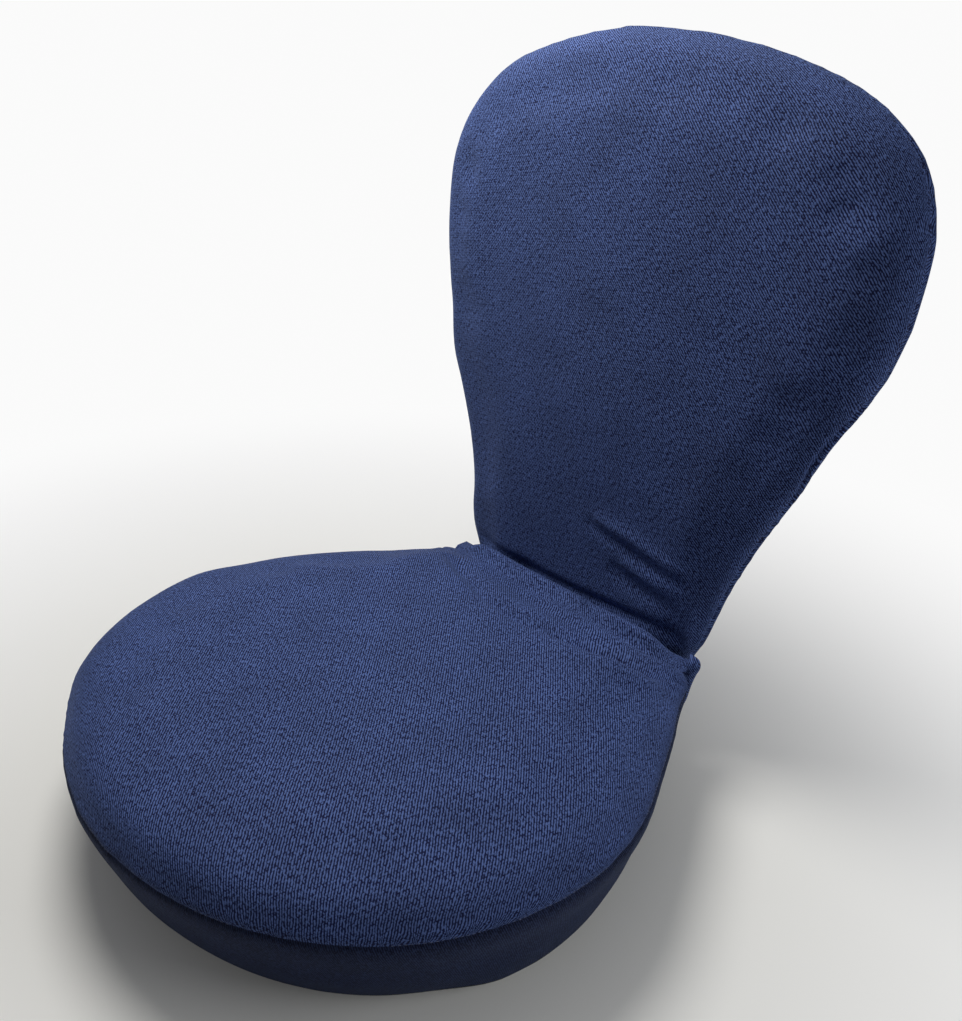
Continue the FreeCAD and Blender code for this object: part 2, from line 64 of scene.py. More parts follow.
view_back = Vector((math.sin(view_turn) * math.cos(view_height),
                    -math.cos(view_turn) * math.cos(view_height), math.sin(view_height)))
camera_data = bpy.data.cameras.new("camera")
camera_data.sensor_width = 36
camera_data.lens = view_lens
camera = bpy.data.objects.new("camera", camera_data)
camera.location = view_target + view_back * view_distance
camera.rotation_mode = "QUATERNION"
camera.rotation_quaternion = (view_back.to_track_quat("Z", "Y")
                              @ Quaternion((0, 0, 1), view_roll))
scene.collection.objects.link(camera)
scene.camera = camera
scene.view_settings.view_transform = "Standard"


# Studio: a pale floor that curves up into a pale wall behind the chair.
# A soft lamp hangs over the sitter's right arm and a weaker one stands at the sitter's left.

floor_colour = (0.80, 0.795, 0.755, 1)
wall_colour = (0.96, 0.96, 0.96, 1)
floor_height = -0.0006        # just under the seat's base
floor_half_width = 6.0
floor_front = 3.0
floor_back = 0.95
wall_curve = 0.35
wall_curve_steps = 12
wall_top = 4.0
# From 0.08 m out the paper starts to glow white for the camera. Near the chair this is painted
# light, which partly washes out the chair's shadow on the floor.
glow_over_shadow_from = 0.08             # the floor's own colour and shadow, near the chair
paper_to = 0.80               # plain white from here on


def new_object(name, form):
    """An object at the origin, made from a finished bmesh, which is then freed."""
    mesh = bpy.data.meshes.new(name)
    form.to_mesh(mesh)
    form.free()
    piece = bpy.data.objects.new(name, mesh)
    scene.collection.objects.link(piece)
    return piece


def new_material(name, colour, roughness):
    """A named Principled material, with its node tree and shader."""
    material = bpy.data.materials.new(name)
    material.use_nodes = True
    shader = material.node_tree.nodes["Principled BSDF"]
    shader.inputs["Base Color"].default_value = colour
    shader.inputs["Roughness"].default_value = roughness
    return material, material.node_tree, shader


def smooth(mesh):
    """Shades every face of a mesh smoothly."""
    mesh.polygons.foreach_set("use_smooth", [True] * len(mesh.polygons))


backdrop = bmesh.new()
front_edge = bmesh.ops.create_circle(backdrop, segments=3, radius=1)["verts"]
for vert, along in zip(front_edge[:2], (-floor_half_width, floor_half_width)):
    vert.co = (along, -floor_front, floor_height)
backdrop.verts.remove(front_edge[2])
edge = backdrop.edges[:]
strip = bmesh.ops.extrude_edge_only(backdrop, edges=edge)["geom"]
verts = [item for item in strip if isinstance(item, bmesh.types.BMVert)]
bmesh.ops.translate(backdrop, vec=(0, floor_front + floor_back, 0), verts=verts)
edge = [item for item in strip if isinstance(item, bmesh.types.BMEdge)]
bmesh.ops.spin(backdrop, geom=edge + verts, cent=(0, floor_back, wall_curve), axis=(1, 0, 0),
               dvec=(0, 0, 0), angle=math.radians(90), steps=wall_curve_steps)
top = [item for item in backdrop.verts if item.co.z > wall_curve * 0.99]
edge = [item for item in backdrop.edges if all(vert in top for vert in item.verts)]
strip = bmesh.ops.extrude_edge_only(backdrop, edges=edge)["geom"]
verts = [item for item in strip if isinstance(item, bmesh.types.BMVert)]
bmesh.ops.translate(backdrop, vec=(0, 0, wall_top), verts=verts)
bmesh.ops.rotate(backdrop, cent=(0, 0, 0), matrix=Matrix.Rotation(view_turn, 3, "Z"),
                 verts=backdrop.verts)
studio = new_object("studio_backdrop", backdrop)
smooth(studio.data)
material, tree, shader = new_material("studio_paper", floor_colour, 0.9)
place = tree.nodes.new("ShaderNodeTexCoord")
away = tree.nodes.new("ShaderNodeVectorMath")
away.operation = "LENGTH"
fade = tree.nodes.new("ShaderNodeMapRange")
fade.interpolation_type = "SMOOTHSTEP"
fade.inputs["From Min"].default_value = glow_over_shadow_from
fade.inputs["From Max"].default_value = paper_to
paper = tree.nodes.new("ShaderNodeMix")
paper.data_type = "RGBA"
paper.inputs[6].default_value = floor_colour
paper.inputs[7].default_value = wall_colour
tree.links.new(place.outputs["Object"], away.inputs[0])
tree.links.new(away.outputs["Value"], fade.inputs["Value"])
tree.links.new(fade.outputs[0], paper.inputs[0])
tree.links.new(paper.outputs[2], shader.inputs["Base Color"])
# Camera, glossy and transmission rays see a growing share of white glow instead of the lit paper.
# This is painted light, which near the chair partly washes out its shadow.
ray = tree.nodes.new("ShaderNodeLightPath")
seen = tree.nodes.new("ShaderNodeMath")
seen.operation = "MAXIMUM"
seen_also = tree.nodes.new("ShaderNodeMath")
seen_also.operation = "MAXIMUM"
share = tree.nodes.new("ShaderNodeMath")
share.operation = "MULTIPLY"
glow = tree.nodes.new("ShaderNodeEmission")
glow.inputs["Color"].default_value = wall_colour
surface = tree.nodes.new("ShaderNodeMixShader")
tree.links.new(ray.outputs["Is Camera Ray"], seen.inputs[0])
tree.links.new(ray.outputs["Is Glossy Ray"], seen.inputs[1])
tree.links.new(seen.outputs[0], seen_also.inputs[0])
tree.links.new(ray.outputs["Is Transmission Ray"], seen_also.inputs[1])
tree.links.new(seen_also.outputs[0], share.inputs[0])
tree.links.new(fade.outputs[0], share.inputs[1])
tree.links.new(share.outputs[0], surface.inputs[0])
tree.links.new(shader.outputs[0], surface.inputs[1])
tree.links.new(glow.outputs[0], surface.inputs[2])
tree.links.new(surface.outputs[0], tree.nodes["Material Output"].inputs["Surface"])
studio.data.materials.append(material)

world = bpy.data.worlds.new("studio_air")
world.use_nodes = True
world.node_tree.nodes["Background"].inputs["Color"].default_value = (0.93, 0.96, 1, 1)
world.node_tree.nodes["Background"].inputs["Strength"].default_value = 0.055
scene.world = world


def lamp(name, place, aim, size, power, colour):
    """A round soft lamp, in metres and watts, turned towards its aim."""
    data = bpy.data.lights.new(name, "AREA")
    data.shape = "DISK"
    data.size = size
    data.energy = power
    data.color = colour
    light = bpy.data.objects.new(name, data)
    light.location = place
    light.rotation_mode = "QUATERNION"
    light.rotation_quaternion = (Vector(place) - Vector(aim)).to_track_quat("Z", "Y")
    scene.collection.objects.link(light)


lamp("overhead_lamp", (-0.26, 0.03, 0.88), (0, 0.06, 0.15), 0.45, 6.2, (1, 0.985, 0.96))
lamp("left_hand_lamp", (1.00, 0.45, 0.60), (0, 0.10, 0.20), 0.6, 3.4, (0.96, 0.98, 1))


# Tube frames: a bent hoop of black painted steel tube in the seat and one in the backrest,
# each with two cross bars that stop the foam from sinking through.

frame_black = (0.022, 0.022, 0.025, 1)
frame_scuff = (0.16, 0.15, 0.14, 1)


def object_noise(tree, scale, detail):
    """Noise in the piece's own place, for wear and cloudiness."""
    place = tree.nodes.new("ShaderNodeTexCoord")
    cloud = tree.nodes.new("ShaderNodeTexNoise")
    cloud.inputs["Scale"].default_value = scale
    cloud.inputs["Detail"].default_value = detail
    tree.links.new(place.outputs["Object"], cloud.inputs["Vector"])
    return cloud.outputs["Fac"]


def two_tone(tree, factor, low, high, from_value, to_value):
    """A colour that runs from low to high as factor crosses a span."""
    ramp = tree.nodes.new("ShaderNodeValToRGB")
    ramp.color_ramp.elements[0].position = from_value
    ramp.color_ramp.elements[0].color = low
    ramp.color_ramp.elements[1].position = to_value
    ramp.color_ramp.elements[1].color = high
    tree.links.new(factor, ramp.inputs[0])
    return ramp.outputs["Color"]


def raised(tree, shader, height, strength, distance):
    """Surface relief from a height value, in metres."""
    bump = tree.nodes.new("ShaderNodeBump")
    bump.inputs["Strength"].default_value = strength
    bump.inputs["Distance"].default_value = distance
    tree.links.new(height, bump.inputs["Height"])
    tree.links.new(bump.outputs["Normal"], shader.inputs["Normal"])


frame_paint, tree, shader = new_material("frame_paint", frame_black, 0.38)
wear = object_noise(tree, 60, 6)
tree.links.new(two_tone(tree, wear, frame_black, frame_scuff, 0.60, 0.74),
               shader.inputs["Base Color"])
raised(tree, shader, object_noise(tree, 900, 2), 0.15, 0.0001)
for name in ("seat_frame_tube", "seat_cross_bars", "back_frame_tube", "back_cross_bars"):
    nodes[name].data.materials.clear()
    nodes[name].data.materials.append(frame_paint)


# Ratchet hinges: stamped plates of zinc plated steel, with a spring pawl in each, and the rivets
# that hold them together and to the tubes.

zinc_bright = (0.62, 0.61, 0.57, 1)
zinc_dull = (0.40, 0.40, 0.39, 1)

hinge_steel, tree, shader = new_material("hinge_steel", zinc_bright, 0.36)
shader.inputs["Metallic"].default_value = 1.0
tree.links.new(two_tone(tree, object_noise(tree, 160, 5), zinc_dull, zinc_bright, 0.38, 0.60),
               shader.inputs["Base Color"])
raised(tree, shader, object_noise(tree, 1500, 3), 0.2, 0.00008)
rivet_steel, tree, shader = new_material("rivet_steel", zinc_bright, 0.26)
shader.inputs["Metallic"].default_value = 1.0
tree.links.new(two_tone(tree, object_noise(tree, 400, 4), zinc_dull, zinc_bright, 0.30, 0.50),
               shader.inputs["Base Color"])
for name, node in nodes.items():
    if name.endswith(("rivets", "rivet", "pin", "spring")):
        metal = rivet_steel
    elif name.endswith(("gear_arm", "inner", "outer", "tang", "pawl")):
        metal = hinge_steel
    else:
        continue
    node.data.materials.clear()
    node.data.materials.append(metal)


# Seat cushion: firm foam in a taut knit cover, with a top panel pulled over the edge, a plainer
# side band sewn to it, and a thin underside. It swells a little between its seams. The band's
# colour is darker than the top panel's, partly its own plainer knit and partly painted shade.

seam_height = 0.083
base_seam_height = 0.009
cushion_voxel = 0.005
cushion_pressure = 4
swell_frames = 20
seat_draw_in = 0.0012
seat_swell = 0.0030           # the most that the cloth may swell
seat_top_height = 0.112
seat_round = 0.205            # the band is laid flat as if it ran round a circle of this radius
seam_depth = 0.0011
seam_width = 0.0016
base_seam_width = 0.002
seat_unevenness = 0.0004
corner_seam_dir = Vector((0.7772, -0.6293, 0))  # square to a corner seam, seen from above
corner_seam_width = 0.0014
corner_seam_depth = 0.0010
navy_dark = (0.0008, 0.0034, 0.0360, 1)
navy_light = (0.0760, 0.1230, 0.3100, 1)
# The band's yarns: partly the band's own darker knit, partly painted shade, as dark as the band
# looks where it faces away from the light.
band_dark_and_painted_shade = (0.0010, 0.0026, 0.0180, 1)
band_light_and_painted_shade = (0.018, 0.029, 0.080, 1)
navy_sheen = (0.36, 0.52, 1.0, 1)


def applied(piece):
    """The piece's modifiers, made part of its mesh."""
    graph = bpy.context.evaluated_depsgraph_get()
    mesh = bpy.data.meshes.new_from_object(piece.evaluated_get(graph))
    piece.modifiers.clear()
    piece.data = mesh


def pressed(piece, depth):
    """Moves each point inwards along its normal, by depth at that point."""
    normals = [vert.normal.copy() for vert in piece.data.vertices]
    for vert, normal in zip(piece.data.vertices, normals):
        vert.co -= normal * depth(vert.co)


def off_line(point, start, end):
    """How far a point is from a line with two ends, and how far along it, from 0 to 1."""
    start, end = Vector(start), Vector(end)
    along = min(max(geometry.intersect_point_line(point, start, end)[1], 0), 1)
    return (point - start.lerp(end, along)).length, along


def pulled(piece, pulls):
    """Draws the foam and cloth near each line towards a new place."""
    for start, end, reach, shift in pulls:
        for vert in piece.data.vertices:
            away, _ = off_line(vert.co, start, end)
            if away < 3 * reach:
                vert.co += Vector(shift) * math.exp(-(away / reach) ** 2)


def fold_depth(across, up, folds):
    """How deep the folds in the cloth are here; each fades out towards its ends."""
    depth = 0
    point = Vector((across, up, 0))
    for width, drop, *line in folds:
        nearest, spot = 3 * width, 0        # a fold is flat beyond three widths
        for index, (start, end) in enumerate(zip(line, line[1:])):
            if min(start[0], end[0]) - nearest < across < max(start[0], end[0]) + nearest:
                away, along = off_line(point, (*start, 0), (*end, 0))
                if away < nearest:
                    nearest, spot = away, (index + along) / (len(line) - 1)
        depth += drop * math.exp(-(nearest / width) ** 2) * math.sin(math.pi * spot) ** 0.5
    return depth


def filled_form(name, covers, draw_in):
    """One closed form that fills the covers, drawn in a little all round."""
    form = bmesh.new()
    for cover in covers:
        form.from_mesh(nodes[cover].data)
    bmesh.ops.remove_doubles(form, verts=form.verts, dist=0.00002)
    piece = new_object(name, form)
    remesh = piece.modifiers.new("remesh", "REMESH")
    remesh.mode = "VOXEL"
    remesh.voxel_size = cushion_voxel
    applied(piece)
    pressed(piece, lambda point: draw_in)
    piece.data.materials.clear()
    return piece


def swollen(piece, pressure, cap, held):
    """Cloth with air pressure inside it, which swells each panel between its seams."""
    before = [vert.co.copy() for vert in piece.data.vertices]
    pins = piece.vertex_groups.new(name="held")
    for vert in piece.data.vertices:
        pins.add([vert.index], held(vert.co), "REPLACE")
    cloth = piece.modifiers.new("cloth", "CLOTH")
    cloth.settings.use_pressure = True
    cloth.settings.uniform_pressure_force = pressure
    cloth.settings.effector_weights.gravity = 0
    cloth.settings.vertex_group_mass = "held"
    cloth.settings.quality = 5
    cloth.collision_settings.use_collision = False
    cloth.collision_settings.use_self_collision = False
    cloth.point_cache.frame_start = 1
    cloth.point_cache.frame_end = swell_frames
    for number in range(1, swell_frames + 1):
        scene.frame_set(number)
    applied(piece)
    scene.frame_set(1)
    piece.vertex_groups.clear()
    for vert, start in zip(piece.data.vertices, before):
        move = vert.co - start
        if move.length > cap:
            vert.co = start + move * (cap / move.length)


def evened(piece, rounds):
    """Smooths out the steps that a remesh or a pull leaves."""
    form = bmesh.new()
    form.from_mesh(piece.data)
    for _ in range(rounds):
        bmesh.ops.smooth_vert(form, verts=form.verts, factor=0.5, use_axis_x=True,
                              use_axis_y=True, use_axis_z=True)
    form.to_mesh(piece.data)
    form.free()


def scored(piece, cuts, inside=lambda centre: True):
    """Rows of edges where planes, each a point and a direction, meet a part of the piece."""
    form = bmesh.new()
    form.from_mesh(piece.data)
    for point, direction in cuts:
        faces = [face for face in form.faces if inside(face.calc_center_median())]
        edges = {edge for face in faces for edge in face.edges}
        verts = {vert for face in faces for vert in face.verts}
        bmesh.ops.bisect_plane(form, geom=list(verts) + list(edges) + faces, dist=0.0001,
                               plane_co=point, plane_no=direction)
    form.to_mesh(piece.data)
    form.free()


def subdivided(piece, levels):
    """Splits each face in four, once for each level, and rounds the form."""
    finer = piece.modifiers.new("finer", "SUBSURF")
    finer.levels = levels
    finer.render_levels = levels
    applied(piece)


def knit(name, dark, light, pitch, turn, roughness, sheen):
    """Stretch knit in two mixed yarns: slanting ribs broken into stitches, with a light heather.
    It follows the piece's own weave coordinates, in metres."""
    material, tree, shader = new_material(name, dark, roughness)
    node, link = tree.nodes.new, tree.links.new

    def combined(operation, *values):
        result = node("ShaderNodeMath")
        result.operation = operation
        for socket, value in zip(result.inputs, values):
            if isinstance(value, (int, float)):
                socket.default_value = value
            else:
                link(value, socket)
        return result.outputs[0]

    def grain(vector, scale, detail):
        cloud = node("ShaderNodeTexNoise")
        cloud.inputs["Scale"].default_value = scale
        cloud.inputs["Detail"].default_value = detail
        link(vector, cloud.inputs["Vector"])
        return cloud

    def wave(phase):
        """A smooth wave from 0 to 1, once for each whole step of its phase."""
        turns = combined("MULTIPLY", phase, 2 * math.pi)
        return combined("MULTIPLY_ADD", combined("SINE", turns), 0.5, 0.5)

    weave = node("ShaderNodeAttribute")
    weave.attribute_name = "weave"
    turned = node("ShaderNodeMapping")
    turned.inputs["Rotation"].default_value = (0, 0, math.radians(turn))
    turned.inputs["Scale"].default_value = (1 / pitch, 1 / pitch, 1)
    link(weave.outputs["Vector"], turned.inputs["Vector"])
    shift = node("ShaderNodeVectorMath")
    shift.operation = "MULTIPLY_ADD"
    shift.inputs[1].default_value = (0.45, 0.45, 0)
    link(grain(turned.outputs[0], 0.35, 2).outputs["Color"], shift.inputs[0])
    link(turned.outputs[0], shift.inputs[2])
    split = node("ShaderNodeSeparateXYZ")
    link(shift.outputs[0], split.inputs[0])
    rib = wave(split.outputs["X"])
    row = combined("MULTIPLY", combined("FLOOR", split.outputs["X"]), 0.5)
    stitch = wave(combined("MULTIPLY_ADD", split.outputs["Y"], 0.7, row))
    loops = combined("MULTIPLY", rib, combined("MULTIPLY_ADD", stitch, 0.45, 0.55))
    stretched = node("ShaderNodeMapping")
    stretched.inputs["Scale"].default_value = (1.0, 0.45, 1)
    link(turned.outputs[0], stretched.inputs["Vector"])
    fleck = combined("SUBTRACT", grain(stretched.outputs[0], 1.3, 2).outputs["Fac"], 0.5)
    mixed = combined("ADD", combined("MULTIPLY_ADD", loops, 0.62, 0.10),
                     combined("MULTIPLY", fleck, 1.5))
    colour = two_tone(tree, mixed, dark, light, 0.24, 0.50)
    cloudy = node("ShaderNodeMapRange")
    cloudy.inputs["From Min"].default_value = 0.3
    cloudy.inputs["From Max"].default_value = 0.7
    cloudy.inputs["To Min"].default_value = 0.88
    cloudy.inputs["To Max"].default_value = 1.12
    link(grain(weave.outputs["Vector"], 22, 4).outputs["Fac"], cloudy.inputs["Value"])
    shaded = node("ShaderNodeVectorMath")
    shaded.operation = "SCALE"
    link(colour, shaded.inputs[0])
    link(cloudy.outputs[0], shaded.inputs["Scale"])
    link(shaded.outputs[0], shader.inputs["Base Color"])
    raised(tree, shader, mixed, 0.6, 0.0004)
    shader.inputs["Sheen Weight"].default_value = sheen
    shader.inputs["Sheen Roughness"].default_value = 0.45
    shader.inputs["Sheen Tint"].default_value = navy_sheen
    shader.inputs["Specular IOR Level"].default_value = 0.2
    return material


def weave_along(piece, place):
    """Stores where each corner of each face lies on its flat cloth, in metres."""
    mesh = piece.data
    layer = mesh.attributes.new("weave", "FLOAT_VECTOR", "CORNER")
    points = [vert.co.copy() for vert in mesh.vertices]
    normals = [vert.normal.copy() for vert in mesh.vertices]
    for face in mesh.polygons:
        for loop in face.loop_indices:
            index = mesh.loops[loop].vertex_index
            layer.data[loop].vector = place(points[index], normals[index], face.center)


cover_knit = knit("cover_knit", navy_dark, navy_light, 0.0017, -45, 0.85, 0.10)
# The band's knit takes the darker yarns, which carry painted shade.
band_knit = knit("band_knit", band_dark_and_painted_shade, band_light_and_painted_shade, 0.0012, -20, 0.88, 0.08)
# Underside cloth: near-black felt on the base. Below the base seam it also runs up the foot of the
# side, where the black strip stands in partly as painted contact shadow along the floor.
underside_cloth, tree, shader = new_material("underside_cloth", (0.012, 0.012, 0.014, 1), 0.95)
felt = object_noise(tree, 700, 4)
tree.links.new(two_tone(tree, felt, (0.006, 0.006, 0.008, 1), (0.030, 0.030, 0.033, 1), 0.35, 0.7),
               shader.inputs["Base Color"])
raised(tree, shader, felt, 0.3, 0.0003)

# The foam is pressed up against the backrest at the crease. Each pull is a line, a reach and a
# move: the first ones raise the crease, the others fill the corner, the base and the sides.
seat_pulls = [((-0.078, 0.176, 0.096), (-0.012, 0.176, 0.096), 0.016, (0, -0.002, 0.0055)),
              ((0.018, 0.176, 0.096), (0.100, 0.176, 0.096), 0.016, (0, -0.002, 0.0110)),
              ((0.120, 0.174, 0.092), (0.132, 0.178, 0.086), 0.013, (0.001, 0.003, 0.0050)),
              ((0.188, -0.050, 0.004), (0.182, 0.050, 0.004), 0.028, (0.0070, 0, 0)),
              ((-0.205, -0.040, 0.095), (-0.150, -0.155, 0.095), 0.035,
               (-0.0040, -0.0010, 0.0040)),
              ((-0.145, 0.120, 0.100), (-0.120, 0.165, 0.100), 0.022, (0, 0, -0.0050)),
              ((0.168, 0.125, 0.040), (0.168, 0.125, 0.085), 0.050, (0.0045, 0.0025, 0)),
              ((-0.168, 0.125, 0.040), (-0.168, 0.125, 0.085), 0.050, (-0.0045, 0.0025, 0))]
# Soft folds that fan out from the left end of the crease: a width, a depth, and a line seen from
# above. A fold with a depth below zero stands up.
seat_folds = [(0.008, 0.0095, (-0.104, 0.147), (-0.055, 0.1315), (-0.025, 0.123), (0.018, 0.121),
               (0.044, 0.129), (0.067, 0.1355), (0.091, 0.143), (0.115, 0.150), (0.132, 0.160)),
              (0.009, -0.0046, (0.040, 0.104), (0.088, 0.114), (0.106, 0.1265), (0.138, 0.150)),
              (0.005, 0.0062, (0.026, 0.184), (0.036, 0.180), (0.060, 0.1765), (0.085, 0.174),
               (0.108, 0.176), (0.124, 0.184))]


def seat_held(point):
    """How firmly the seams and the base hold the cover, from 0 to 1."""
    near_seam = math.exp(-((point.z - seam_height) / 0.004) ** 2)
    return max(near_seam, 1.0 if point.z < base_seam_height else 0.0)


seat_cushion = filled_form("seat_cushion", ("seat_top_cover", "seat_side_band",
                                            "seat_bottom_cover"), seat_draw_in)
evened(seat_cushion, 3)
swollen(seat_cushion, cushion_pressure, seat_swell, seat_held)
evened(seat_cushion, 2)
pulled(seat_cushion, seat_pulls)
subdivided(seat_cushion, 1)
evened(seat_cushion, 2)
scored(seat_cushion, [((0, 0, height), (0, 0, 1)) for height in (
    base_seam_height, seam_height - seam_width, seam_height, seam_height + seam_width)],
    lambda centre: centre.z < 0.09)
for side in (1, -1):
    seam_dir = Vector((side * corner_seam_dir.x, corner_seam_dir.y, 0))
    scored(seat_cushion, [(seam_dir * offset, seam_dir) for offset in (
        -corner_seam_width, 0, corner_seam_width)],
        lambda centre: side * centre.x > 0.08 and centre.y > 0.12)


def seat_dip(point):
    """The seams, the folds and a faint unevenness of the foam."""
    dip = seam_depth * math.exp(-((point.z - seam_height) / seam_width) ** 2)
    dip += 0.6 * seam_depth * math.exp(-((point.z - base_seam_height) / base_seam_width) ** 2)
    if point.y > 0.12 and point.z < 0.104:
        off_seam = abs(point.x) * corner_seam_dir.x + point.y * corner_seam_dir.y
        dip += corner_seam_depth * math.exp(-(off_seam / corner_seam_width) ** 2)
    if point.z > 0.02:
        dip += seat_unevenness * noise.noise(point * 28)
    if point.z > 0.09 and point.y > 0.08:
        dip += fold_depth(point.x, point.y, seat_folds)
    return dip


def seat_weave(point, normal, centre):
    """The top panel is laid flat from above, and the band is a strip once round the seat."""
    if centre.z < seam_height:
        turn = math.atan2(point.x, -point.y)
        if abs(turn - math.atan2(centre.x, -centre.y)) > math.pi:
            turn -= math.copysign(2 * math.pi, turn)
        return turn * seat_round, point.z, 0.5
    spread = Vector((normal.x, normal.y)) * max(seat_top_height - point.z, 0)
    return point.x + spread.x, point.y + spread.y, 0


weave_along(seat_cushion, seat_weave)
pressed(seat_cushion, seat_dip)
smooth(seat_cushion.data)
for material in (cover_knit, band_knit, underside_cloth):
    seat_cushion.data.materials.append(material)
# Faces below the base seam take the near-black underside cloth, partly painted contact shadow at
# the foot of the side. Faces below the seam take the band's knit, darkened partly with painted
# shade.
for face in seat_cushion.data.polygons:
    if face.center.z < base_seam_height:
        face.material_index = 2
    elif face.center.z < seam_height:
        face.material_index = 1
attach(seat_cushion, "seat")
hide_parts("seat_top_cover", "seat_side_band", "seat_bottom_cover",
            "seat_base_foam", "seat_top_foam")


# Backrest cushion: a teardrop of soft foam in the same knit, pulled tight over a rounded rim.
# One seam runs all round near the middle of the rim, with its allowance turned to the rear.

back_lean = math.radians(6.0)
hinge_place = Vector(joints["back_recline"]["pos_m"])
rim_seam_depth = -0.0010      # how far behind the middle of the rim the seam runs
rim_seam_drawn = 0.0085       # how much it is drawn forward beside the sitter's left elbow
rim_seam_drawn_at = 0.196
rim_seam_drawn_reach = 0.032
rim_seam_settled = 0.0045     # how much further back it runs above the neck
rim_seam_settled_from = 0.236
rim_seam_cut = 0.0016
rim_ridge_offset = 0.0036     # the middle of the seam allowance, which shows through the cloth
rim_ridge_height = 0.0014
rim_ridge_width = 0.0022
rim_cut_step = 0.0014
rim_half_thickness = 0.0247
back_draw_in = 0.0012
back_swell = 0.0035           # the most that the cloth may swell
back_unevenness = 0.0004
upright = Matrix.Rotation(back_lean, 4, "X") @ Matrix.Translation(-hinge_place)
leaning = upright.inverted()
# Folds above the left end of the crease, and the groove at the crease, seen from the front of
# the upright backrest: a width, a depth, and a line. The pulls even out its sides and its crown.
back_folds = [(0.0050, 0.0028, (0.012, 0.0890), (0.0337, 0.0843), (0.0573, 0.0805),
               (0.0802, 0.0768), (0.1016, 0.0745), (0.114, 0.0725)),
              (0.0055, -0.0022, (0.020, 0.0950), (0.0343, 0.0930), (0.0612, 0.0910),
               (0.0922, 0.0850), (0.110, 0.0800)),
              (0.0065, 0.0032, (0.042, 0.0630), (0.0561, 0.0576), (0.0731, 0.0549),
               (0.0935, 0.0523), (0.108, 0.0500)),
              (0.0045, -0.0016, (0.050, 0.0700), (0.0700, 0.0672), (0.0950, 0.0640)),
              (0.0045, 0.0034, (-0.118, 0.0215), (-0.041, 0.0216), (0.015, 0.0246),
               (0.054, 0.0283), (0.086, 0.0310), (0.104, 0.0305), (0.118, 0.0220))]
back_pulls = [((-0.155, -0.005, 0.165), (-0.118, -0.005, 0.040), 0.042, (-0.0145, 0, 0)),
              ((-0.116, -0.005, 0.045), (-0.104, -0.005, 0.014), 0.022, (-0.0060, 0, 0)),
              ((0.155, 0, 0.165), (0.118, 0, 0.040), 0.035, (0.0060, 0, 0)),
              ((-0.205, 0, 0.380), (-0.172, 0, 0.210), 0.040, (-0.0042, 0, 0)),
              ((0.200, 0.006, 0.375), (0.208, 0.006, 0.270), 0.040, (0.0050, 0, 0)),
              ((-0.150, -0.008, 0.410), (-0.040, -0.008, 0.441), 0.045, (-0.0010, 0, 0.0030)),
              ((0, -0.022, 0.280), (0, -0.022, 0.200), 0.110, (0, -0.0050, 0))]


def seam_place(point):
    """How far back the rim seam runs here."""
    drawn = rim_seam_drawn if point.x > 0 else 0
    drawn *= math.exp(-((point.z - rim_seam_drawn_at) / rim_seam_drawn_reach) ** 2)
    settled = rim_seam_settled / (1 + math.exp((rim_seam_settled_from - point.z) / 0.004))
    return rim_seam_depth - drawn + settled


def back_held(point):
    """How firmly the seam holds the cover, from 0 to 1."""
    return math.exp(-((point.y - seam_place(point)) / 0.004) ** 2)


back_cushion = filled_form("back_cushion", ("back_front_cover", "back_rear_cover"), back_draw_in)
back_cushion.data.transform(upright)
evened(back_cushion, 3)
swollen(back_cushion, cushion_pressure, back_swell, back_held)
evened(back_cushion, 2)
pulled(back_cushion, back_pulls)
subdivided(back_cushion, 1)
evened(back_cushion, 2)
scored(back_cushion, [((0, number * rim_cut_step, 0), (0, 1, 0)) for number in range(-8, 8)],
       lambda centre: -0.015 < centre.y < 0.015)


def back_dip(point):
    """The seam and its allowance, the folds and a faint unevenness of the foam."""
    off_seam = point.y - seam_place(point)
    dip = rim_seam_cut * math.exp(-(off_seam / seam_width) ** 2)
    dip -= rim_ridge_height * math.exp(-((off_seam - rim_ridge_offset) / rim_ridge_width) ** 2)
    dip += back_unevenness * noise.noise(point * 26)
    if point.y < 0 and point.z < 0.12:
        dip += fold_depth(point.x, point.z, back_folds)
    return dip


def back_weave(point, normal, centre):
    """Each panel is laid flat from its own side; its edge unrolls outwards."""
    spread = Vector((normal.x, normal.z)) * max(rim_half_thickness - abs(point.y), 0)
    return point.x + spread.x, point.z + spread.y, 0.0 if centre.y < seam_place(centre) else 1.0


weave_along(back_cushion, back_weave)
pressed(back_cushion, back_dip)
smooth(back_cushion.data)
back_cushion.data.transform(leaning)
back_cushion.data.materials.append(cover_knit)
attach(back_cushion, "backrest")
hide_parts("back_front_cover", "back_rear_cover", "back_front_foam",
            "back_rear_foam")


# Crease gussets: strips of the same knit that join the two covers, one over the crease and one
# under the hinge line. They are gathered at their ends. From behind,
# a little of the hinge cases' steel still shows between the backrest and the under gusset.

gusset_thickness = 0.0012
gusset_length = 0.042         # of the knit, along the crease gusset's curved section
gusset_gather_from = 0.090    # how far from the middle its ends begin to gather
tuck_share = 0.45             # how much of the strip's front lies on the seat
tuck_depth = 0.0016
crease_gusset_width = 0.262
under_gusset_width = 0.232
# Where the strip over the crease is gathered: its front and rear edge, at the sitter's right
# and then at the left.
crease_gusset_ends = [((0.174, 0.0880), (0.1925, 0.0882)), ((0.174, 0.0905), (0.1930, 0.0975))]
under_gusset_ends = [((0.186, 0.0480), (0.204, 0.0560))] * 2
